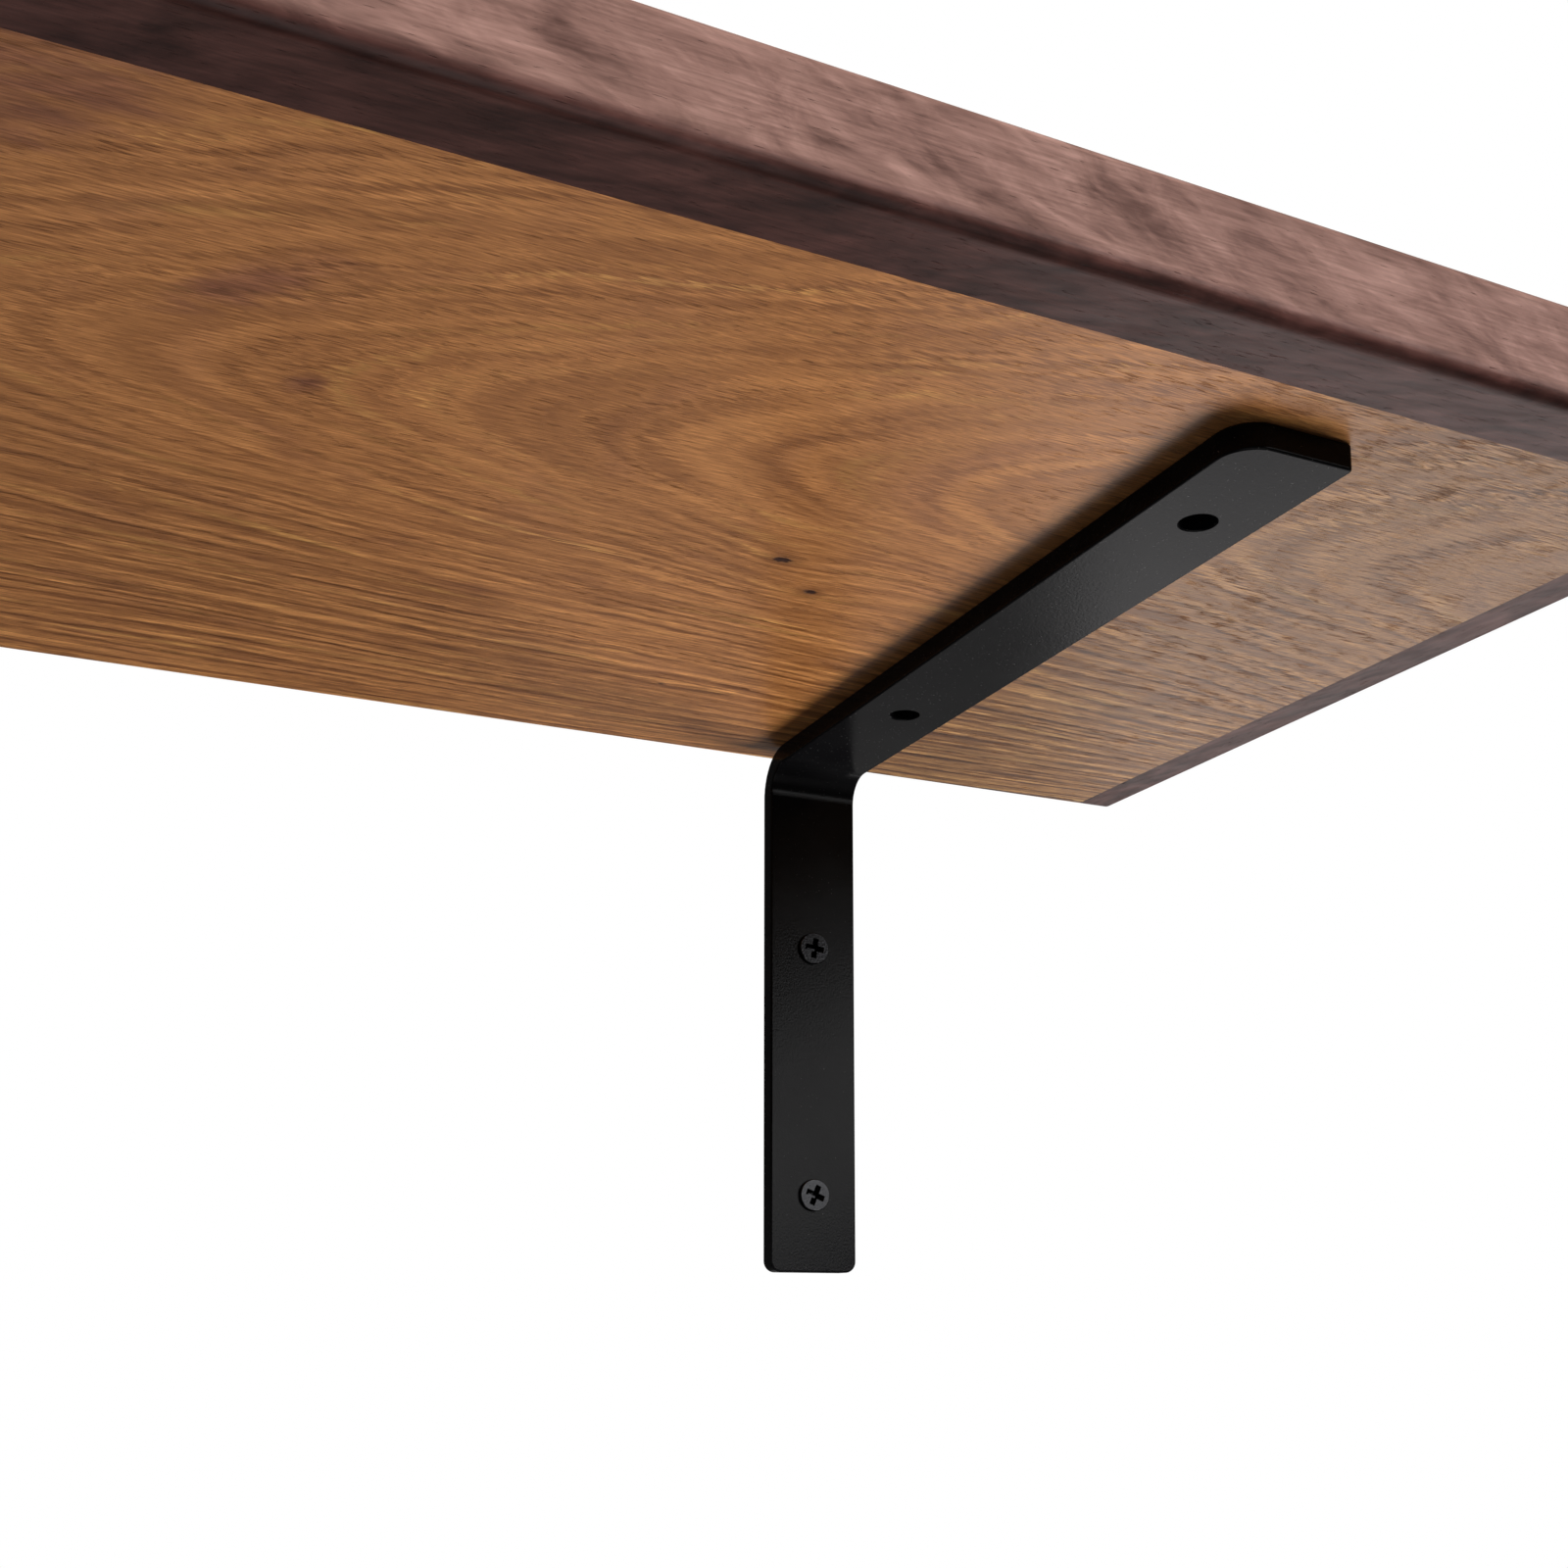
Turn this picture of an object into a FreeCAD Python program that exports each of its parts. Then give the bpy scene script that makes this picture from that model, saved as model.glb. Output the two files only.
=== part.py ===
import FreeCAD, Part
import math
import os

# Wall shelf: a veneered board with solid wood lippings, held on two flat-bar
# brackets that are screwed into plugs in the wall.
# Millimetres. +X runs right along the wall, +Y into the wall, +Z up.
# The origin is on the wall plane, at mid length and mid thickness of the board.

Vector = FreeCAD.Vector
AXIS_X = Vector(1, 0, 0)
AXIS_Y = Vector(0, 1, 0)
AXIS_Z = Vector(0, 0, 1)

# Board
BOARD_LENGTH = 600.0
BOARD_DEPTH = 228.0
BOARD_THICKNESS = 19.0
VENEER_THICKNESS = 0.6
FRONT_LIPPING_WIDTH = 15.0
END_LIPPING_WIDTH = 12.0
UPPER_ARRIS_RADIUS = 2.0       # long outer edges above
LOWER_ARRIS_RADIUS = 3.0       # and below
LIPPING_CORNER_RADIUS = 4.0    # front corners in plan
MITRE_OVERRUN = 0.1            # how far the mitre cut runs past both corners, as a share
TONGUE_THICKNESS = 5.0
TONGUE_DEPTH = 6.0             # how far the lipping's tongue enters the core
TONGUE_SETBACK = 15.0          # the tongue stops short of each end by this

# Brackets, each bent from one piece of flat bar
BRACKET_SPACING = 394.0        # centre to centre
BAR_WIDTH = 25.0
BAR_THICKNESS = 5.0
BEND_INNER_RADIUS = 7.0
ARM_REACH = 202.0              # wall plane to tip
UPRIGHT_DROP = 141.0           # underside of the board to the foot
TIP_INNER_CORNER_RADIUS = 7.0  # on the side of the board's middle
TIP_OUTER_CORNER_RADIUS = 1.2
FOOT_CORNER_RADIUS = 3.0
BAR_EDGE_RADIUS = 0.5
HOLE_RADIUS = 3.6
HOLE_CHAMFER = 0.25
ARM_HOLES = (58.0, 174.0)      # from the wall plane
UPRIGHT_HOLES = (53.7, 120.6)  # below the underside of the board

# Wall screws: 90 degree countersunk heads, seated on the chamfers of plain holes
SCREW_LENGTH = 30.0
SCREW_HEAD_RADIUS = 4.25
SCREW_RIM = 0.7                # cylindrical rim of the head
SCREW_RIM_ROUND = 0.2
SCREW_SHANK_RADIUS = 1.6
SCREW_THREAD_RADIUS = 2.1
SCREW_CORE_RADIUS = 1.4
SCREW_POINT_LENGTH = 4.0
THREAD_PITCH = 1.8
THREAD_CREST = 0.2
THREAD_FLANK = 0.45
RECESS_SPAN = 5.5              # across the wings of the cross recess
RECESS_WING_WIDTH = 1.6
RECESS_DEPTH = 2.4
RECESS_TAPER = 0.4             # floor of the recess as a share of its mouth

# Wall plugs
PLUG_RADIUS = 3.0
PLUG_LENGTH = 25.0
PLUG_MOUTH = 8.0               # plain stretch at the wall's face
PLUG_BORE_END = 20.0           # the bore narrows from here to the tip
PLUG_NOSE_LENGTH = 4.5
PLUG_TIP_RADIUS = 1.2
PLUG_TIP_BORE_RADIUS = 0.4
PLUG_TOOTH_PITCH = 3.0
PLUG_TOOTH_DEPTH = 0.35
PLUG_TEETH = 4
PLUG_SLOT_WIDTH = 0.9
PLUG_SLOT_END = 6.0            # uncut ring left at the nose

# How far each screw's cross recess is turned, in degrees
SCREW_TURNS = {
    "left_upper": -32.0,
    "left_lower": 8.0,
    "right_upper": 8.0,
    "right_lower": 22.0,
}

CLEAR = 1.0                    # overshoot of cutting tools

HALF_LENGTH = BOARD_LENGTH / 2
HALF_THICKNESS = BOARD_THICKNESS / 2
CORE_HALF_LENGTH = HALF_LENGTH - END_LIPPING_WIDTH
CORE_FRONT = -(BOARD_DEPTH - FRONT_LIPPING_WIDTH)
CORE_HALF_THICKNESS = HALF_THICKNESS - VENEER_THICKNESS
UNDERSIDE = -HALF_THICKNESS
FOOT = UNDERSIDE - UPRIGHT_DROP


def block(x_range, y_range, z_range):
    """A box between the given limits on each axis."""
    low = Vector(x_range[0], y_range[0], z_range[0])
    high = Vector(x_range[1], y_range[1], z_range[1])
    size = high - low
    return Part.makeBox(size.x, size.y, size.z, low)


def symmetric(half):
    """The range from -half to half."""
    return (-half, half)


def middle(edge):
    """The point at half of an edge's parameter range."""
    return edge.valueAt((edge.FirstParameter + edge.LastParameter) / 2)


def sharp_edges(shape):
    """Edges where the two neighbouring faces don't run smoothly into each other."""
    found = []
    for edge in shape.Edges:
        point = middle(edge)
        normals = []
        for face in shape.ancestorsOfType(edge, Part.Face):
            normals.append(face.normalAt(*face.Surface.parameter(point)))
        if len(normals) == 2 and normals[0].dot(normals[1]) < 0.5:
            found.append(edge)
    return found


def runs_along(edge, axis):
    """Whether an edge is straight and parallel to an axis."""
    if not isinstance(edge.Curve, Part.Line):
        return False
    return abs(edge.Curve.Direction.dot(axis)) > 0.999


# Board ---------------------------------------------------------------------

def board_outline_solid():
    """The whole board, with rounded front corners and rounded long edges."""
    solid = block(symmetric(HALF_LENGTH), (-BOARD_DEPTH, 0), symmetric(HALF_THICKNESS))
    corners = [e for e in solid.Edges if runs_along(e, AXIS_Z) and middle(e).y < -CLEAR]
    solid = solid.makeFillet(LIPPING_CORNER_RADIUS, corners)
    for height, radius in ((HALF_THICKNESS, UPPER_ARRIS_RADIUS), (UNDERSIDE, LOWER_ARRIS_RADIUS)):
        arrises = []
        for edge in solid.Edges:
            point = middle(edge)
            if abs(point.z - height) < 1e-6 and point.y < -1e-6:
                arrises.append(edge)
        solid = solid.makeFillet(radius, arrises)
    return solid


def mitre_prism():
    """The region in front of the two mitres at the front corners."""
    inner = Vector(CORE_HALF_LENGTH, CORE_FRONT, -BOARD_THICKNESS)
    outer = Vector(HALF_LENGTH, -BOARD_DEPTH, -BOARD_THICKNESS)
    overrun = (outer - inner) * MITRE_OVERRUN
    right = [inner - overrun, outer + overrun]
    left = [Vector(-point.x, point.y, point.z) for point in reversed(right)]
    outline = Part.makePolygon(right + left + right[:1])
    return Part.Face(outline).extrude(AXIS_Z * 2 * BOARD_THICKNESS)


def front_tongue():
    half = CORE_HALF_LENGTH - TONGUE_SETBACK
    depth = (CORE_FRONT, CORE_FRONT + TONGUE_DEPTH)
    return block(symmetric(half), depth, symmetric(TONGUE_THICKNESS / 2))


def end_tongue(side):
    """The tongue of the left (side -1) or right (side 1) end lipping."""
    ends = sorted((side * CORE_HALF_LENGTH, side * (CORE_HALF_LENGTH - TONGUE_DEPTH)))
    along = (CORE_FRONT + TONGUE_SETBACK, -TONGUE_SETBACK)
    return block(ends, along, symmetric(TONGUE_THICKNESS / 2))


def make_lippings():
    """Front, left and right lippings, mitred together, each with its tongue."""
    inner = block(symmetric(CORE_HALF_LENGTH), (CORE_FRONT, CLEAR), symmetric(BOARD_THICKNESS))
    band = board_outline_solid().cut(inner)
    prism = mitre_prism()
    left, right = sorted(band.cut(prism).Solids, key=lambda s: s.CenterOfMass.x)
    front = band.common(prism)
    return {
        "front_lipping": front.fuse(front_tongue()).removeSplitter(),
        "left_end_lipping": left.fuse(end_tongue(-1)).removeSplitter(),
        "right_end_lipping": right.fuse(end_tongue(1)).removeSplitter(),
    }


def make_core():
    """The board's core, grooved on three edges for the lippings' tongues."""
    core = block(symmetric(CORE_HALF_LENGTH), (CORE_FRONT, 0), symmetric(CORE_HALF_THICKNESS))
    return core.cut(front_tongue()).cut(end_tongue(-1)).cut(end_tongue(1))


def make_veneer(z_range):
    return block(symmetric(CORE_HALF_LENGTH), (CORE_FRONT, 0), z_range)


# Brackets ------------------------------------------------------------------

def bar_profile(x):
    """The bent bar seen from its side, as a face in the plane at x."""
    outer_radius = BEND_INNER_RADIUS + BAR_THICKNESS
    half_turn = math.sqrt(0.5)
    bend_y = -outer_radius
    bend_z = UNDERSIDE - outer_radius
    inner_y = -BAR_THICKNESS
    inner_z = UNDERSIDE - BAR_THICKNESS

    def at(y, z):
        return Vector(x, y, z)

    def on_bend(radius):
        return at(bend_y + radius * half_turn, bend_z + radius * half_turn)

    edges = [
        Part.LineSegment(at(-ARM_REACH, UNDERSIDE), at(bend_y, UNDERSIDE)),
        Part.Arc(at(bend_y, UNDERSIDE), on_bend(outer_radius), at(0, bend_z)),
        Part.LineSegment(at(0, bend_z), at(0, FOOT)),
        Part.LineSegment(at(0, FOOT), at(inner_y, FOOT)),
        Part.LineSegment(at(inner_y, FOOT), at(inner_y, bend_z)),
        Part.Arc(at(inner_y, bend_z), on_bend(BEND_INNER_RADIUS), at(bend_y, inner_z)),
        Part.LineSegment(at(bend_y, inner_z), at(-ARM_REACH, inner_z)),
        Part.LineSegment(at(-ARM_REACH, inner_z), at(-ARM_REACH, UNDERSIDE)),
    ]
    return Part.Face(Part.Wire([edge.toShape() for edge in edges]))


def chamfered_hole(start, direction):
    """Cutting tool for a hole through the bar, with a small chamfer at both faces."""
    tool = Part.makeCylinder(HOLE_RADIUS, BAR_THICKNESS + 2 * CLEAR, start - direction * CLEAR, direction)
    mouth_radius = HOLE_RADIUS + HOLE_CHAMFER
    entry = Part.makeCone(mouth_radius, HOLE_RADIUS, HOLE_CHAMFER, start, direction)
    end = start + direction * BAR_THICKNESS
    leave = Part.makeCone(mouth_radius, HOLE_RADIUS, HOLE_CHAMFER, end, direction * -1)
    return tool.fuse(entry).fuse(leave)


def make_bracket(x):
    """One L-shaped bracket, centred on x."""
    bar = bar_profile(x - BAR_WIDTH / 2).extrude(AXIS_X * BAR_WIDTH)
    for outer_side, radius in ((False, TIP_INNER_CORNER_RADIUS), (True, TIP_OUTER_CORNER_RADIUS)):
        tip = []
        for edge in bar.Edges:
            point = middle(edge)
            at_tip = runs_along(edge, AXIS_Z) and abs(abs(point.x - x) - BAR_WIDTH / 2) < 1e-6
            if at_tip and point.y < CLEAR - ARM_REACH and (abs(point.x) > abs(x)) == outer_side:
                tip.append(edge)
        bar = bar.makeFillet(radius, tip)
    foot = [e for e in bar.Edges if runs_along(e, AXIS_Y) and middle(e).z < FOOT + CLEAR]
    bar = bar.makeFillet(FOOT_CORNER_RADIUS, foot)
    bar = bar.makeFillet(BAR_EDGE_RADIUS, sharp_edges(bar))
    for reach in ARM_HOLES:
        bar = bar.cut(chamfered_hole(Vector(x, -reach, UNDERSIDE), AXIS_Z * -1))
    for drop in UPRIGHT_HOLES:
        bar = bar.cut(chamfered_hole(Vector(x, 0, UNDERSIDE - drop), AXIS_Y * -1))
    return bar


# Wall screws and plugs -----------------------------------------------------

def turned(profile, x, z):
    """A solid of revolution about a line along Y, from (radius, y) points."""
    points = [Vector(x + radius, y, z) for radius, y in profile]
    outline = Part.makePolygon(points + points[:1])
    return Part.Face(outline).revolve(Vector(x, 0, z), AXIS_Y, 360)


def screw_profile():
    """Half outline of a screw as (radius, y) points, from head to point."""
    seat_radius = HOLE_RADIUS + HOLE_CHAMFER
    cone_start = -BAR_THICKNESS - (SCREW_HEAD_RADIUS - seat_radius)
    face = cone_start - SCREW_RIM
    point = face + SCREW_LENGTH
    points = [
        (0, face),
        (SCREW_HEAD_RADIUS - SCREW_RIM_ROUND, face),
        (SCREW_HEAD_RADIUS, face + SCREW_RIM_ROUND),
        (SCREW_HEAD_RADIUS, cone_start),
        (SCREW_SHANK_RADIUS, cone_start + SCREW_HEAD_RADIUS - SCREW_SHANK_RADIUS),
        (SCREW_SHANK_RADIUS, 0),
    ]
    ridge = THREAD_PITCH
    while ridge + THREAD_PITCH < point - SCREW_POINT_LENGTH:
        points.append((SCREW_CORE_RADIUS, ridge - THREAD_FLANK))
        points.append((SCREW_THREAD_RADIUS, ridge))
        points.append((SCREW_THREAD_RADIUS, ridge + THREAD_CREST))
        points.append((SCREW_CORE_RADIUS, ridge + THREAD_CREST + THREAD_FLANK))
        ridge += THREAD_PITCH
    points.append((SCREW_CORE_RADIUS, point - SCREW_POINT_LENGTH))
    points.append((0, point))
    return points


def recess_wing(x, z, face, turn):
    """One tapered slot of the cross recess, turned about the screw's axis."""
    wires = []
    for share, depth in ((1.0, 0.0), (RECESS_TAPER, RECESS_DEPTH)):
        half_span = RECESS_SPAN / 2 * share
        half_width = RECESS_WING_WIDTH / 2 * share
        corners = [
            Vector(x - half_span, face + depth, z - half_width),
            Vector(x + half_span, face + depth, z - half_width),
            Vector(x + half_span, face + depth, z + half_width),
            Vector(x - half_span, face + depth, z + half_width),
        ]
        wires.append(Part.makePolygon(corners + corners[:1]))
    wing = Part.makeLoft(wires, True, True)
    wing.rotate(Vector(x, 0, z), AXIS_Y, turn)
    return wing


def make_screw(x, z, turn):
    profile = screw_profile()
    face = profile[0][1]
    screw = turned(profile, x, z)
    for angle in (turn, turn + 90):
        screw = screw.cut(recess_wing(x, z, face, angle))
    return screw


def plug_profile():
    """Half outline of a plug as (radius, y) points: bore, nose, teeth, mouth."""
    points = [
        (SCREW_THREAD_RADIUS, 0),
        (SCREW_THREAD_RADIUS, PLUG_BORE_END),
        (PLUG_TIP_BORE_RADIUS, PLUG_LENGTH),
        (PLUG_TIP_RADIUS, PLUG_LENGTH),
        (PLUG_RADIUS, PLUG_LENGTH - PLUG_NOSE_LENGTH),
    ]
    for tooth in reversed(range(PLUG_TEETH)):
        root = PLUG_MOUTH + tooth * PLUG_TOOTH_PITCH
        points.append((PLUG_RADIUS, root + PLUG_TOOTH_PITCH / 2))
        points.append((PLUG_RADIUS - PLUG_TOOTH_DEPTH, root))
        points.append((PLUG_RADIUS, root))
    points.append((PLUG_RADIUS, 0))
    return points


def make_plug(x, z):
    """A hollow plug, toothed outside and slotted through both sides."""
    plug = turned(plug_profile(), x, z)
    slot = block(
        (x - PLUG_RADIUS - CLEAR, x + PLUG_RADIUS + CLEAR),
        (PLUG_MOUTH + PLUG_TOOTH_PITCH, PLUG_LENGTH - PLUG_SLOT_END),
        (z - PLUG_SLOT_WIDTH / 2, z + PLUG_SLOT_WIDTH / 2),
    )
    return plug.cut(slot)


def fixings():
    """Name, x and z of each wall fixing."""
    for side, x in (("left", -BRACKET_SPACING / 2), ("right", BRACKET_SPACING / 2)):
        for level, drop in zip(("upper", "lower"), UPRIGHT_HOLES):
            yield side + "_" + level, x, UNDERSIDE - drop


def make_nodes():
    """Every piece of the shelf, by node name."""
    nodes = {
        "board_core": make_core(),
        "top_veneer": make_veneer((CORE_HALF_THICKNESS, HALF_THICKNESS)),
        "underside_veneer": make_veneer((-HALF_THICKNESS, -CORE_HALF_THICKNESS)),
    }
    nodes.update(make_lippings())
    nodes["left_bracket"] = make_bracket(-BRACKET_SPACING / 2)
    nodes["right_bracket"] = make_bracket(BRACKET_SPACING / 2)
    for name, x, z in fixings():
        nodes["wall_screw_" + name] = make_screw(x, z, SCREW_TURNS[name])
        nodes["wall_plug_" + name] = make_plug(x, z)
    return nodes


os.makedirs("parts", exist_ok=True)
for node_name, shape in make_nodes().items():
    if not shape.isValid() or len(shape.Solids) != 1:
        raise ValueError(node_name + " is not one valid solid")
    shape.Solids[0].exportStep("parts/" + node_name + ".step")
    box = shape.BoundBox
    print(f"{node_name}: {shape.Volume:.1f} mm3, z {box.ZMin:.2f} to {box.ZMax:.2f}")
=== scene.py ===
import math

import bpy
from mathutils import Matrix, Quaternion, Vector


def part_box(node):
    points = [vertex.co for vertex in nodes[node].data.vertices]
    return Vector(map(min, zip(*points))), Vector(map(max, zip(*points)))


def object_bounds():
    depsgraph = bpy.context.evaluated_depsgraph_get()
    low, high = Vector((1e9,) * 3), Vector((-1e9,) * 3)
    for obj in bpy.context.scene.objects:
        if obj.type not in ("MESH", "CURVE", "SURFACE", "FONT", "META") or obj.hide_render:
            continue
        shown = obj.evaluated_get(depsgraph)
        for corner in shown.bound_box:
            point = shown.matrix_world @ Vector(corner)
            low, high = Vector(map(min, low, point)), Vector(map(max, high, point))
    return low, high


# Looks of the wall shelf. Metres, in the row frame: +X along the wall, +Y into it, +Z up.
# Procedural materials work in millimetres of the same frame.

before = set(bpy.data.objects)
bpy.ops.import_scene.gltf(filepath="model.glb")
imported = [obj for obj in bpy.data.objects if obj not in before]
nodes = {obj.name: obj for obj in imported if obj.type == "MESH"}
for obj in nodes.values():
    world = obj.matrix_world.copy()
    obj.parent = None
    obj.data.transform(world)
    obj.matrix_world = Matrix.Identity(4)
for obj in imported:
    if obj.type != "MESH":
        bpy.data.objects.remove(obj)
cad_low, cad_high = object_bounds()

MM = 0.001

# Camera, measured from the right bracket's upright and the underside of the board
CAMERA_LEFT_OF_BRACKET = 0.1999
CAMERA_FROM_WALL = 0.4252
CAMERA_BELOW_BOARD = 0.1537
CAMERA_YAW = 24.47            # degrees to the right of the wall's normal
CAMERA_PITCH = 8.0            # degrees above level
CAMERA_LENS = 40.15
CAMERA_SENSOR = 36.0          # width; this and the lens are in millimetres
CAMERA_SHIFT_Y = 0.1857
CAMERA_NEAREST = 0.01
CAMERA_FURTHEST = 60.0

FLOOR_DROP = 1.1              # floor below the foot of the brackets
FLOOR_RADIUS = 5.0
FLOOR_SIDES = 96
FLOOR_GLOW = 0.62

BACKGROUND_WHITE = 1.0        # world as the camera sees it
AMBIENT = 0.06                # world as the object sees it

# Lights, aimed at the board's middle. Azimuth 0 is into the wall and 90 along +X; angles are
# in degrees, distances and sizes in metres and powers in watts. A "diffuse" light leaves no
# reflection, and a "glossy" one is a reflector card that shows only as a reflection.
LIGHTS = [
    # name          azimuth  elev  dist  size         power  colour              role       roll
    ("front_high",  200,     33,   1.8,  (1.4, 0.6),  106,   (1.0, 0.99, 0.98),  "diffuse", 0),
    ("front_right", 132,     24,   1.8,  (0.6, 0.6),  7,     (1.0, 0.99, 0.98),  "diffuse", 0),
    ("right_low",   76,      -28,  1.35, (0.7, 0.4),  20,    (1.0, 0.97, 0.93),  "diffuse", 0),
    ("left_low",    290,     -50,  1.3,  (1.2, 1.2),  1.5,   (1.0, 0.97, 0.94),  "diffuse", 0),
    ("back_high",   25,      22,   1.8,  (1.6, 0.8),  26,    (1.0, 0.99, 0.98),  "diffuse", 0),
    ("right_card",  59,      -28,  2.0,  (1.3, 1.0),  5.2,   (1.0, 0.97, 0.97),  "glossy",  0),
    ("mid_card",    30,      -22,  2.0,  (0.9, 0.7),  0.36,  (1.0, 0.98, 0.96),  "glossy",  0),
    ("low_card",    15,      -50,  1.5,  (1.3, 0.7),  1.1,   (1.0, 0.98, 0.96),  "glossy",  0),
    ("under_card",  180,     -60,  1.5,  (1.6, 1.0),  6.0,   (1.0, 1.0, 1.0),    "glossy",  0),
    ("front_card",  147,     2.8,  1.8,  (1.0, 0.30), 6.0,   (1.0, 1.0, 1.0),    "glossy",  25),
]


def rgb(red, green, blue):
    return (red, green, blue, 1.0)


WHITE = rgb(1.0, 1.0, 1.0)


# Node graphs ---------------------------------------------------------------

class Graph:
    """A material's node tree, built up from short calls."""

    def __init__(self, name):
        self.material = bpy.data.materials.new(name)
        self.material.use_nodes = True
        self.tree = self.material.node_tree
        self.shader = self.tree.nodes["Principled BSDF"]

    def feed(self, socket, value):
        """Links a socket to another, or sets it to a value."""
        if isinstance(value, bpy.types.NodeSocket):
            self.tree.links.new(value, socket)
        else:
            socket.default_value = value

    def add(self, kind, inputs, output=0, **settings):
        """Makes a node, feeds its inputs and gives back one of its outputs."""
        node = self.tree.nodes.new(kind)
        for key, value in settings.items():
            setattr(node, key, value)
        for key, value in inputs.items():
            self.feed(node.inputs[key], value)
        return node.outputs[output]

    def math(self, operation, *values):
        return self.add("ShaderNodeMath", dict(enumerate(values)), operation=operation)

    def sum(self, first, *others):
        for other in others:
            first = self.math("ADD", first, other)
        return first

    def times(self, first, *others):
        for other in others:
            first = self.math("MULTIPLY", first, other)
        return first

    def less(self, first, second):
        """The first value less the second."""
        return self.math("SUBTRACT", first, second)

    def rest_of(self, share):
        """What a share leaves over from 1."""
        return self.less(1.0, share)

    def larger(self, first, second):
        return self.math("MAXIMUM", first, second)

    def size_of(self, value):
        """The value without its sign."""
        return self.math("ABSOLUTE", value)

    def square(self, value):
        return self.math("POWER", value, 2.0)

    def root(self, value):
        return self.math("SQRT", value)

    def squared_share(self, distance, size):
        """The square of a distance divided by a size."""
        return self.square(self.math("DIVIDE", distance, size))

    def position(self):
        """X, Y and Z in the row frame, in millimetres."""
        coords = self.add("ShaderNodeTexCoord", {}, output=3)
        parts = self.tree.nodes.new("ShaderNodeSeparateXYZ")
        self.feed(parts.inputs[0], coords)
        return [self.times(part, 1 / MM) for part in parts.outputs]

    def vector(self, x, y, z):
        return self.add("ShaderNodeCombineXYZ", {0: x, 1: y, 2: z})

    def noise(self, point, sizes, seed, detail=2.0, roughness=0.5, swirl=0.0):
        """Noise from 0 to 1 whose blobs have the given sizes in millimetres."""
        scaled = [self.math("DIVIDE", part, size) for part, size in zip(point, sizes)]
        scaled[2] = self.math("ADD", scaled[2], seed)
        inputs = {
            "Vector": self.vector(*scaled),
            "Scale": 1.0,
            "Detail": detail,
            "Roughness": roughness,
            "Distortion": swirl,
        }
        return self.add("ShaderNodeTexNoise", inputs)

    def wobble(self, point, sizes, seed, reach, detail=1.0):
        """Noise centred on 0 that reaches about as far as given, in millimetres."""
        spread = self.less(self.noise(point, sizes, seed, detail), 0.5)
        return self.times(spread, 2 * reach)

    def step(self, value, start, end):
        """0 before start and 1 after end, smooth between them."""
        inputs = {"Value": value, "From Min": start, "From Max": end}
        return self.add("ShaderNodeMapRange", inputs, interpolation_type="SMOOTHSTEP")

    def blend(self, share, first, second, mode="MIX"):
        """Lays a share of the second colour over the first."""
        inputs = {0: share, 6: first, 7: second}
        return self.add("ShaderNodeMix", inputs, output=2, data_type="RGBA", blend_type=mode)

    def tint(self, first, second):
        """Multiplies two colours."""
        return self.blend(1.0, first, second, mode="MULTIPLY")

    def ramp(self, value, stops):
        """The colour at a value, from stops that are each a place and a colour."""
        node = self.tree.nodes.new("ShaderNodeValToRGB")
        self.feed(node.inputs[0], value)
        elements = node.color_ramp.elements
        while len(elements) < len(stops):
            elements.new(0.5)
        for element, (place, colour) in zip(elements, stops):
            element.position = place
            element.color = rgb(*colour)
        return node.outputs[0]

    def relief(self, height, depth):
        """Bump: a height from 0 to 1 raises the surface by depth, in millimetres."""
        normal = self.add("ShaderNodeBump", {"Height": height, "Distance": depth * MM})
        self.feed(self.shader.inputs["Normal"], normal)

    def finish(self, colour, roughness, **others):
        """Feeds the shader; keywords name its other sockets."""
        self.feed(self.shader.inputs["Base Color"], colour)
        self.feed(self.shader.inputs["Roughness"], roughness)
        for key, value in others.items():
            self.feed(self.shader.inputs[key.replace("_", " ")], value)
        return self.material


# Oak -----------------------------------------------------------------------
# Sizes of noise are in millimetres along the grain, across it and through the board.

THROUGH = 400                 # so large that nothing changes through the veneer

OAK = rgb(0.430, 0.181, 0.061)
OAK_PORE = rgb(0.130, 0.045, 0.014)
OAK_PALE = rgb(0.66, 0.350, 0.105)
OAK_MOTTLE = rgb(0.200, 0.072, 0.042)
OAK_KNOT = rgb(0.035, 0.012, 0.008)
# Painted grey sheen and painted shade, laid over the right part of the wood
OAK_PAINTED_SHEEN_GREY = rgb(0.57, 0.66, 0.76)
OAK_SHEEN_FADE = 35            # to either side of the line where the painted sheen and shade begin
OAK_STRAIGHT = (-140, -50)    # Y where the straight grain beside the wall begins and is full
OAK_RING_SPACING = 3.3
OAK_RING_DRIFT = 2.6          # by how many rings their spacing strays
OAK_HEART_DEPTH = 22.0        # of the rings' centre line, below the surface
OAK_RING_TINT = [
    (0.00, (0.78, 0.73, 0.68)),
    (0.14, (0.60, 0.53, 0.46)),
    (0.36, (0.96, 0.95, 0.94)),
    (0.72, (1.16, 1.18, 1.20)),
    (1.00, (0.95, 0.94, 0.93)),
]
OAK_BAND_TINT = [
    (0.00, (0.82, 0.77, 0.72)),
    (0.12, (0.60, 0.52, 0.45)),
    (0.36, (0.95, 0.93, 0.91)),
    (0.66, (1.25, 1.30, 1.30)),
    (1.00, (0.98, 0.96, 0.94)),
]
OAK_STREAK_TINT = [(0.32, (0.76, 0.72, 0.68)), (0.68, (1.25, 1.28, 1.28))]
OAK_FIBRE_TINT = [(0.28, (0.70, 0.66, 0.62)), (0.72, (1.28, 1.32, 1.34))]
OAK_RELIEF = 0.06

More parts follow.
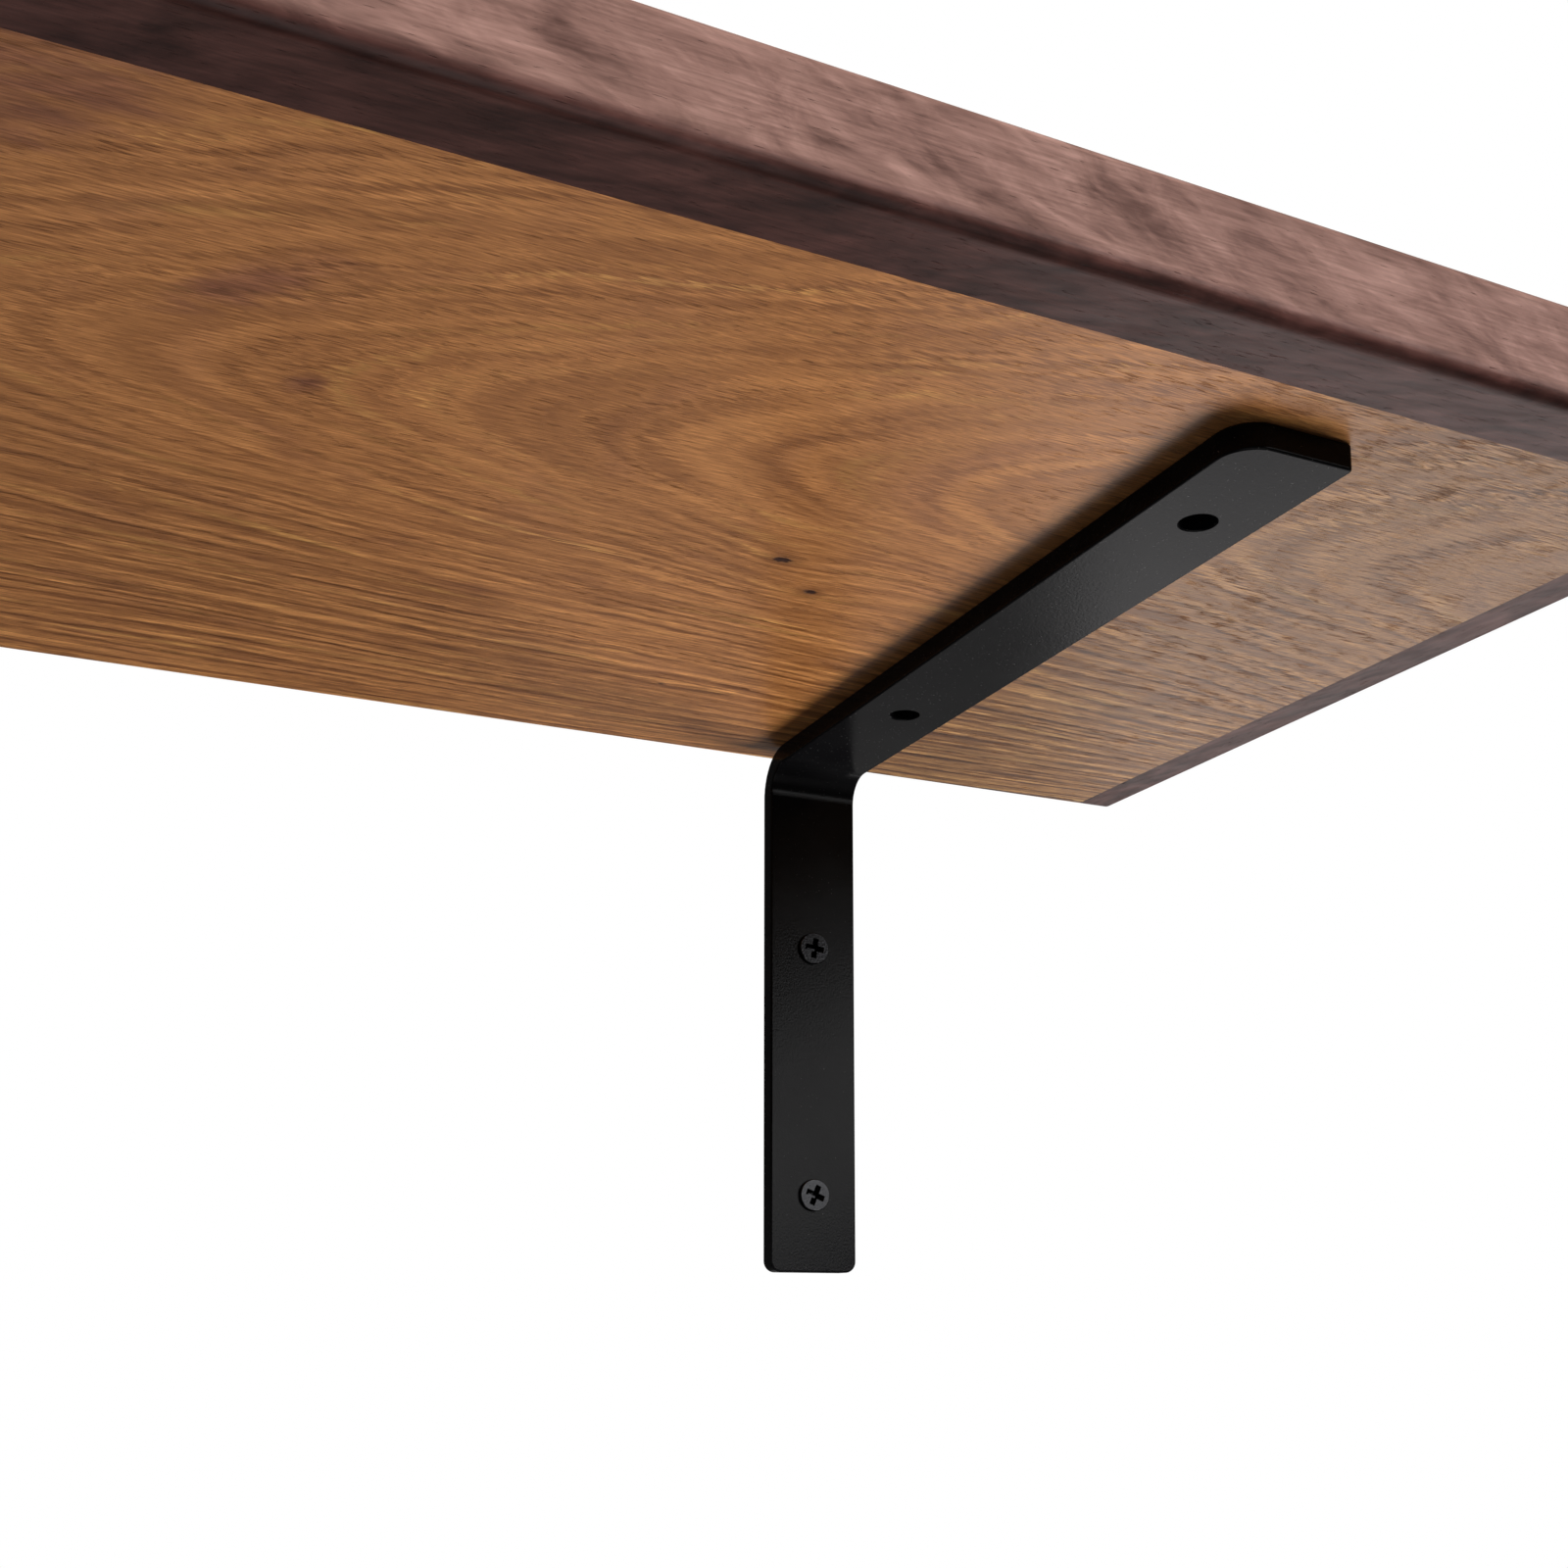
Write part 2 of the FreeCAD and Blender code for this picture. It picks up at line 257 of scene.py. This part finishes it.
# Knots, in shares of a knot's size
KNOT_ACROSS = 0.6             # its size across the grain
KNOT_BULGE = (9, 4)           # reach of the bulge in the rings, along and across the grain
KNOT_PUSH = 2.2               # how far the rings are pushed aside
KNOT_EDGE = (0.6, 1.25)       # where the dark knot begins to fade and has faded
HALO_EDGE = (0.8, 3.4)        # the same for the stained wood around it

# Dark patches, both stains and painted shade, lie aslant: their length runs towards +X and -Y
PATCH_STRETCH = 1.4
PATCH_EDGE = (-0.4, 1.4)
PATCH_SHARE = 0.85


def oak_knots(g, here, seed, radius, knots):
    """Bends the rings round each knot; gives their radius, the knots and their halos."""
    x, y, _ = here
    knot_mask, halo = 0.0, 0.0
    for knot_x, knot_y, size in knots:
        dx = g.less(x, knot_x)
        dy = g.less(y, knot_y)
        along, across = (reach * size for reach in KNOT_BULGE)
        spread = g.sum(g.squared_share(dx, along), g.squared_share(dy, across))
        bulge = g.math("EXPONENT", g.times(spread, -1.0))
        radius = g.sum(radius, g.times(bulge, -KNOT_PUSH * size))
        near = g.root(g.sum(g.squared_share(dx, size), g.squared_share(dy, KNOT_ACROSS * size)))
        ragged = g.sum(near, g.wobble(here, (0.9, 0.5, 9), seed + 8, 0.5))
        knot_mask = g.larger(knot_mask, g.rest_of(g.step(ragged, *KNOT_EDGE)))
        halo = g.larger(halo, g.rest_of(g.step(ragged, *HALO_EDGE)))
    return radius, knot_mask, halo


def oak_rings(g, here, seed, tip, fan, slant, straight, sheen_and_broken_grain, knots):
    """Counts the rings out to here; gives them with the knots and their halos."""
    x, y, z = here
    tip_x, tip_y = tip
    fray = g.wobble(here, (22, 0.7, THROUGH), seed + 2, 9, detail=2)
    frayed_x = g.sum(x, g.times(fray, g.sum(sheen_and_broken_grain, 1.0)))
    past_tip = g.less(frayed_x, tip_x)
    heart_to_wall = g.sum(g.times(past_tip, -slant), -tip_y)
    sway = g.wobble(here, (60, 24, THROUGH), seed + 3, 5)
    across = g.sum(
        y,
        heart_to_wall,
        g.wobble(here, (210, 90, THROUGH), seed, 12),
        g.times(sway, g.sum(g.times(straight, -0.75), 1.0)),
        g.wobble(here, (26, 7, THROUGH), seed + 5, 0.7, detail=2),
        g.wobble(here, (9, 0.8, THROUGH), seed + 6, 0.8, detail=2),
    )
    radius = g.root(g.sum(g.square(across), OAK_HEART_DEPTH ** 2))
    radius, knot_mask, halo = oak_knots(g, here, seed, radius, knots)
    fanned = g.sum(g.times(past_tip, fan), 1.0)
    from_wall = g.times(g.less(radius, heart_to_wall), fanned)
    rings = g.math("DIVIDE", g.sum(from_wall, -tip_y - OAK_HEART_DEPTH), OAK_RING_SPACING)
    drift = g.noise((x, from_wall, z), (260, 12, THROUGH), seed + 7)
    rings = g.sum(rings, g.times(drift, OAK_RING_DRIFT))
    return rings, knot_mask, halo


def oak_figure(g, here, along_ring, seed, rings, straight, sheen_and_broken_grain):
    """Tints of rings, bands, streaks and fibres; gives what the pores follow as well."""
    phase = g.math("FRACT", rings)
    band_phase = g.math("FRACT", g.times(rings, 0.5))
    broken = g.step(g.noise(here, (15, 1.1, THROUGH), seed + 9, detail=2), 0.38, 0.60)
    clear = g.sum(g.times(straight, 0.40), g.times(sheen_and_broken_grain, 0.50), 0.26)
    clear = g.times(clear, g.sum(g.times(broken, 0.65), 0.40))
    strong = g.step(g.noise(along_ring, (90, 7, THROUGH), seed + 11, detail=3), 0.36, 0.64)
    ring_share = g.times(clear, g.sum(g.times(strong, 0.75), 0.15))
    figure = g.blend(ring_share, WHITE, g.ramp(phase, OAK_RING_TINT))
    patches = g.noise(along_ring, (70, 12, THROUGH), seed + 12, detail=2)
    band_share = g.times(clear, g.sum(g.times(patches, 1.4), -0.05))
    band = g.blend(band_share, WHITE, g.ramp(band_phase, OAK_BAND_TINT))
    streak = g.noise(along_ring, (48, 1.5, THROUGH), seed + 14, detail=3, roughness=0.6)
    fibre = g.noise(here, (9, 0.40, THROUGH), seed + 29, detail=3, roughness=0.7)
    for layer in (band, g.ramp(streak, OAK_STREAK_TINT), g.ramp(fibre, OAK_FIBRE_TINT)):
        figure = g.tint(figure, layer)
    contrast = g.sum(g.times(straight, 0.60), g.times(sheen_and_broken_grain, 0.50), 1.40)
    figure = g.add("ShaderNodeGamma", {"Color": figure, "Gamma": contrast})
    return figure, phase, strong, fibre


def oak_dark_patches(g, here, seed, dark, dark_patches):
    """Raises the share of dark wood in ragged patches: stains, and patches of painted shade."""
    x, y, _ = here
    ragged = g.wobble(here, (12, 3.5, 9), seed + 26, 1.3, detail=3)
    for patch_x, patch_y, length, width in dark_patches:
        dx = g.less(x, patch_x)
        dy = g.less(y, patch_y)
        far = g.sum(
            g.squared_share(g.less(dx, dy), PATCH_STRETCH * length),
            g.squared_share(g.sum(dx, dy), PATCH_STRETCH * width),
            ragged,
        )
        inside = g.rest_of(g.step(far, *PATCH_EDGE))
        dark = g.larger(dark, g.times(inside, PATCH_SHARE))
    return dark


def oak_pores(g, here, along_ring, seed, phase, strong, sheen_and_broken_grain):
    """Fine pores, most of them early in each ring, and longer dashes."""
    early = g.rest_of(g.step(phase, 0.20, 0.42))
    speckle = g.noise(here, (4.5, 0.34, 60), seed + 31, detail=1)
    pores = g.step(g.sum(speckle, g.times(early, strong, 0.15)), 0.66, 0.76)
    dash = g.step(g.noise(along_ring, (9, 0.9, THROUGH), seed + 37, detail=2), 0.56, 0.68)
    dashes = g.times(dash, strong, g.sum(g.times(sheen_and_broken_grain, 0.62), 0.22))
    return g.larger(g.times(pores, 0.60), dashes)


def oak(name, tone, seed, tip, fan, slant, sheen_from, knots=(), dark_patches=()):
    """Plain-sawn oak with its grain along X.

    Its rings are nested arches that open to the right about a heart line, and run
    straight near the wall. One arch has its end at tip, fan is how much closer the
    rings lie per millimetre to the right, and slant turns the heart line. To the
    right of sheen_from the grain is more broken, and a painted grey sheen and painted
    shade lie over the wood. A tone under 1 darkens the whole wood as painted shade.
    A knot is an X, a Y and a size; a dark patch is an X, a Y, a length and a width.
    The dark patches are stains and patches of painted shade.
    """
    g = Graph(name)
    x, y, z = g.position()
    here = (x, y, z)
    straight = g.step(y, *OAK_STRAIGHT)
    # Share of the right part, whose grain is more broken and which carries painted sheen and
    # shade
    sheen_and_broken_grain = g.step(x, sheen_from - OAK_SHEEN_FADE, sheen_from + OAK_SHEEN_FADE)
    rings, knot_mask, halo = oak_rings(g, here, seed, tip, fan, slant, straight, sheen_and_broken_grain, knots)
    along_ring = (x, g.times(rings, OAK_RING_SPACING), z)
    figure, phase, strong, fibre = oak_figure(g, here, along_ring, seed, rings, straight, sheen_and_broken_grain)
    pores = oak_pores(g, here, along_ring, seed, phase, strong, sheen_and_broken_grain)

    pale = g.step(g.noise(along_ring, (55, 2.4, THROUGH), seed + 17, detail=2), 0.58, 0.74)
    mottle = g.step(g.noise(along_ring, (24, 9, THROUGH), seed + 23, detail=3), 0.50, 0.74)
    dark = oak_dark_patches(g, here, seed, g.times(mottle, 0.28), dark_patches)
    colour = g.tint(g.blend(g.times(pale, 0.50), OAK, OAK_PALE), rgb(tone, tone, tone))
    colour = g.blend(dark, colour, OAK_MOTTLE)
    # Painted sheen and shade: the right part is tinted greyer and darker
    colour = g.tint(colour, g.blend(sheen_and_broken_grain, WHITE, OAK_PAINTED_SHEEN_GREY))
    colour = g.tint(colour, figure)
    colour = g.blend(pores, colour, OAK_PORE)
    colour = g.blend(g.times(halo, 0.55), colour, OAK_PORE)
    colour = g.blend(knot_mask, colour, OAK_KNOT)

    height = g.sum(g.times(pores, -1.0), g.times(fibre, 0.30), g.times(knot_mask, -0.8))
    g.relief(height, OAK_RELIEF)
    rough = g.sum(g.times(pores, 0.35), g.times(fibre, 0.12), 0.25)
    return g.finish(colour, rough)


# Walnut and fibreboard -----------------------------------------------------

WALNUT_PORE = rgb(0.034, 0.017, 0.014)
# Painted shade of the underside and the lower arris
WALNUT_UNDER_SHADE = rgb(0.50, 0.36, 0.37)
WALNUT_TONES = [
    (0.34, (0.052, 0.027, 0.022)),
    (0.50, (0.110, 0.061, 0.050)),
    (0.66, (0.165, 0.096, 0.080)),
]
WALNUT_FIBRE_TINT = [(0.30, (0.78, 0.77, 0.76)), (0.70, (1.20, 1.21, 1.22))]
WALNUT_STREAK_TINT = [(0.34, (0.78, 0.74, 0.73)), (0.66, (1.24, 1.20, 1.19))]
WALNUT_SLANT = 0.22           # of the figure: across the grain per millimetre along it
WALNUT_SHADE_RISE = (0.8, 3.4)     # above the underside: where the painted shade of the underside and lower arris fades and has faded
WALNUT_SPECULAR = 0.25
WALNUT_RELIEF = 0.04


def walnut(name, seed, along_x, board_underside):
    """Walnut with its grain along X or along Y; its underside is streaked, and painted shade
    darkens it and the lower arris.
    """
    g = Graph(name)
    x, y, z = g.position()
    here = (x, y, z) if along_x else (y, x, z)
    drift = g.wobble(here, (60, 30, 30), seed, 5, detail=2)
    slanted = g.sum(drift, g.times(here[0], WALNUT_SLANT))
    bent = (here[0], g.sum(here[1], slanted), g.sum(here[2], slanted))
    figure = g.noise(bent, (17, 3.6, 3.6), seed + 3, detail=4, roughness=0.6, swirl=0.4)
    cloud = g.noise(bent, (30, 9, 9), seed + 7, detail=2)
    colour = g.ramp(g.sum(g.times(figure, 0.62), g.times(cloud, 0.38)), WALNUT_TONES)
    fibre = g.noise(here, (14, 0.5, 0.5), seed + 11, detail=3)
    colour = g.tint(colour, g.ramp(fibre, WALNUT_FIBRE_TINT))
    pores = g.step(g.noise(here, (3.2, 0.24, 0.24), seed + 13, detail=1), 0.68, 0.76)
    colour = g.blend(g.times(pores, 0.55), colour, WALNUT_PORE)

    above = g.step(z, *(board_underside + rise for rise in WALNUT_SHADE_RISE))
    under = g.rest_of(above)
    streak = g.noise(bent, (26, 2.4, 2.4), seed + 17, detail=2)
    streaked = g.tint(colour, g.ramp(streak, WALNUT_STREAK_TINT))
    colour = g.blend(under, colour, streaked)
    # Painted shade: darkens the underside and the lower arris
    colour = g.tint(colour, g.blend(above, WALNUT_UNDER_SHADE, WHITE))
    g.relief(g.sum(g.times(pores, -1.0), g.times(fibre, 0.3)), WALNUT_RELIEF)
    rough = g.sum(g.times(pores, 0.2), g.times(fibre, 0.12), g.times(streak, under, -0.24), 0.42)
    return g.finish(colour, rough, Specular_IOR_Level=WALNUT_SPECULAR)


FIBREBOARD_TONES = [
    (0.30, (0.19, 0.125, 0.075)),
    (0.52, (0.35, 0.25, 0.16)),
    (0.75, (0.48, 0.36, 0.245)),
]
FIBREBOARD_ROUGHNESS = 0.85
FIBREBOARD_RELIEF = 0.12


def fibreboard(name):
    """The raw sawn edge of the core: fine fibres in a soft even brown."""
    g = Graph(name)
    here = g.position()
    fine = g.noise(here, (0.8, 0.8, 0.35), 1.0, detail=4, roughness=0.7)
    layers = g.noise(here, (60, 60, 1.1), 5.0, detail=2)
    tone = g.sum(g.times(fine, 0.7), g.times(layers, 0.3))
    g.relief(fine, FIBREBOARD_RELIEF)
    return g.finish(g.ramp(tone, FIBREBOARD_TONES), FIBREBOARD_ROUGHNESS)


# Metal and plastic ---------------------------------------------------------

COAT_TONES = [(0.30, (0.0042, 0.0042, 0.0049)), (0.70, (0.0080, 0.0080, 0.0088))]
COAT_WORN = rgb(0.020, 0.020, 0.021)
COAT_SPECK = rgb(0.10, 0.10, 0.10)
COAT_WEAR_BAND = (0.55, 0.05)  # in from the bar's side: where wear begins and is full
COAT_SPECULAR = 0.058
COAT_RELIEF = 0.03


def powder_coat(name, bracket_x, bar_width):
    """Black powder coat: a fine even texture, rare pale specks and rubbed edges."""
    g = Graph(name)
    x, y, z = g.position()
    here = (x, y, z)
    peel = g.noise(here, (0.55, 0.55, 0.55), 2.0, detail=2)
    cloud = g.noise(here, (24, 24, 24), 6.0, detail=3)
    specks = g.step(g.noise(here, (0.42, 0.42, 0.42), 11.0, detail=0), 0.80, 0.84)
    from_middle = g.size_of(g.less(g.size_of(x), bracket_x))
    edge = g.step(from_middle, *(bar_width / 2 - inset for inset in COAT_WEAR_BAND))
    worn = g.times(edge, g.step(g.noise(here, (3.0, 3.0, 3.0), 17.0, detail=3), 0.58, 0.74))
    colour = g.ramp(cloud, COAT_TONES)
    colour = g.blend(g.times(worn, 0.4), colour, COAT_WORN)
    colour = g.blend(g.times(specks, 0.6), colour, COAT_SPECK)
    g.relief(peel, COAT_RELIEF)
    rough = g.sum(g.times(cloud, 0.08), g.times(worn, -0.04), 0.15)
    return g.finish(colour, rough, Specular_IOR_Level=COAT_SPECULAR)


SCREW_TONES = [(0.32, (0.007, 0.007, 0.008)), (0.70, (0.015, 0.015, 0.016))]
SCREW_RUBBED = rgb(0.042, 0.042, 0.041)
SCREW_RIM = (3.6, 4.5)        # from the axis: where the rubbed rim begins and is full
SCREW_METALLIC = 0.8
SCREW_SPECULAR = 0.3
SCREW_RELIEF = 0.02


def black_screw(name, axis_x, axis_heights):
    """Blackened steel, rubbed brighter here and there on the head's rim."""
    g = Graph(name)
    x, y, z = g.position()
    here = (x, y, z)
    side = g.less(g.size_of(x), axis_x)
    rises = [g.size_of(g.less(z, height)) for height in axis_heights]
    rise = g.math("MINIMUM", *rises)
    radius = g.root(g.sum(g.square(side), g.square(rise)))
    grit = g.noise(here, (0.35, 0.35, 0.35), 3.0, detail=3)
    patches = g.step(g.noise(here, (1.2, 1.2, 1.2), 9.0), 0.42, 0.60)
    rubbed = g.times(g.step(radius, *SCREW_RIM), patches)
    colour = g.blend(g.times(rubbed, 0.5), g.ramp(grit, SCREW_TONES), SCREW_RUBBED)
    g.relief(grit, SCREW_RELIEF)
    rough = g.sum(g.times(grit, 0.10), 0.09)
    return g.finish(colour, rough, Metallic=SCREW_METALLIC, Specular_IOR_Level=SCREW_SPECULAR)


NYLON_TONES = [(0.30, (0.30, 0.30, 0.295)), (0.70, (0.40, 0.40, 0.39))]
NYLON_RELIEF = 0.015


def nylon(name):
    """Grey moulded nylon, slightly waxy."""
    g = Graph(name)
    here = g.position()
    cloud = g.noise(here, (5, 5, 5), 4.0, detail=2)
    fine = g.noise(here, (0.3, 0.3, 0.3), 8.0, detail=2)
    g.relief(fine, NYLON_RELIEF)
    return g.finish(g.ramp(cloud, NYLON_TONES), g.sum(g.times(fine, 0.12), 0.42))


FLOOR_TONES = [(0.3, (0.13, 0.13, 0.13)), (0.7, (0.15, 0.15, 0.15))]
FLOOR_ROUGHNESS = 0.8


def painted_floor(name):
    """Pale and even: it glows a little, so that the lights leave no dark corners on it."""
    g = Graph(name)
    cloud = g.noise(g.position(), (420, 420, 420), 3.0, detail=3)
    colour = g.ramp(cloud, FLOOR_TONES)
    return g.finish(colour, FLOOR_ROUGHNESS, Emission_Color=WHITE, Emission_Strength=FLOOR_GLOW)


# Materials on the pieces ---------------------------------------------------

def dress(material, *names):
    """Gives CAD nodes a material in place of the plain one they came with."""
    for name in names:
        for material_slot in nodes[name].material_slots:
            material_slot.material = material


def centre_mm(name):
    """The middle of a node's box, in millimetres."""
    low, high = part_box(name)
    return (low + high) / 2 / MM


right_x = centre_mm("right_bracket").x
bracket_low, bracket_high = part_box("right_bracket")
board_low, board_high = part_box("underside_veneer")
bar_width_mm = (bracket_high.x - bracket_low.x) / MM
underside_mm = board_low.z / MM
screw_heights = [centre_mm("wall_screw_right_" + level).z for level in ("upper", "lower")]
screws = [name for name in nodes if name.startswith("wall_screw_")]
plugs = [name for name in nodes if name.startswith("wall_plug_")]

# The figure of the underside is placed from the right bracket
underside = oak(
    "oak_underside",
    tone=1.0,
    seed=4.0,
    tip=(right_x - 113, -154),
    fan=0.0014,
    slant=-0.09,
    sheen_from=right_x,
    knots=[
        (right_x - 60, -117, 2.0),
        (right_x - 48, -105, 1.6),
        (right_x - 58, -41, 0.6),
    ],
    dark_patches=[
        (right_x - 171, -172, 19, 6),
        (right_x - 160, -146, 5, 3),
        # Painted shade: darkens the front-left corner of the underside, by the front lipping
        (right_x - 202, -206, 22, 14),
    ],
)
# The painted sheen and shade would begin only past the board's end, so the top has none
top = oak(
    "oak_top",
    # Painted shade: a tone of 0.74 darkens the top, which the front light strikes harder
    tone=0.74,
    seed=31.0,
    tip=(-80, -96),
    fan=0.0012,
    slant=0.04,
    sheen_from=3 * right_x,
)
dress(underside, "underside_veneer")
dress(top, "top_veneer")
dress(walnut("walnut_front", 12.0, True, underside_mm), "front_lipping")
dress(walnut("walnut_end", 21.0, False, underside_mm), "left_end_lipping", "right_end_lipping")
dress(fibreboard("fibreboard_core"), "board_core")
dress(powder_coat("black_powder_coat", right_x, bar_width_mm), "left_bracket", "right_bracket")
dress(black_screw("black_screw", right_x, screw_heights), *screws)
dress(nylon("grey_nylon"), *plugs)


# Stage ---------------------------------------------------------------------

def make_floor():
    bpy.ops.mesh.primitive_circle_add(
        vertices=FLOOR_SIDES,
        radius=FLOOR_RADIUS,
        fill_type="NGON",
        location=(0, 0, cad_low.z - FLOOR_DROP),
    )
    floor = bpy.context.object
    floor.name = "floor"
    floor.data.materials.append(painted_floor("pale_floor"))
    floor.visible_diffuse = False
    floor.visible_glossy = False


def make_world():
    """White behind the object, and a low even light around it."""
    world = bpy.data.worlds.new("studio")
    bpy.context.scene.world = world
    world.use_nodes = True
    tree = world.node_tree
    background = tree.nodes["Background"]
    background.inputs["Color"].default_value = WHITE
    path = tree.nodes.new("ShaderNodeLightPath")
    strength = tree.nodes.new("ShaderNodeMapRange")
    strength.inputs["To Min"].default_value = AMBIENT
    strength.inputs["To Max"].default_value = BACKGROUND_WHITE
    tree.links.new(path.outputs["Is Camera Ray"], strength.inputs["Value"])
    tree.links.new(strength.outputs[0], background.inputs["Strength"])


def make_light(name, azimuth, elevation, distance, size, power, colour, role, roll):
    """A soft rectangular light, from one row of LIGHTS."""
    light = bpy.data.lights.new(name, "AREA")
    light.shape = "RECTANGLE"
    light.size, light.size_y = size
    light.energy = power
    light.color = colour
    holder = bpy.data.objects.new(name, light)
    bpy.context.scene.collection.objects.link(holder)
    turn, lift = math.radians(azimuth), math.radians(elevation)
    level = math.cos(lift)
    towards = Vector((math.sin(turn) * level, math.cos(turn) * level, math.sin(lift)))
    board_middle = Vector((0, (board_low.y + board_high.y) / 2, 0))
    holder.location = board_middle + towards * distance
    spin = Quaternion((0, 0, 1), math.radians(roll))
    holder.rotation_euler = (towards.to_track_quat("Z", "Y") @ spin).to_euler()
    holder.visible_camera = False
    holder.visible_diffuse = role == "diffuse"
    holder.visible_glossy = role == "glossy"


def make_camera():
    data = bpy.data.cameras.new("camera")
    data.sensor_width = CAMERA_SENSOR
    data.lens = CAMERA_LENS
    data.shift_y = CAMERA_SHIFT_Y
    data.clip_start = CAMERA_NEAREST
    data.clip_end = CAMERA_FURTHEST
    camera = bpy.data.objects.new("camera", data)
    bpy.context.scene.collection.objects.link(camera)
    camera.location = (
        right_x * MM - CAMERA_LEFT_OF_BRACKET,
        -CAMERA_FROM_WALL,
        board_low.z - CAMERA_BELOW_BOARD,
    )
    camera.rotation_euler = (math.radians(90 + CAMERA_PITCH), 0, math.radians(-CAMERA_YAW))
    bpy.context.scene.camera = camera


make_floor()
make_world()
for light_row in LIGHTS:
    make_light(*light_row)
make_camera()
bpy.context.scene.view_settings.view_transform = "Standard"
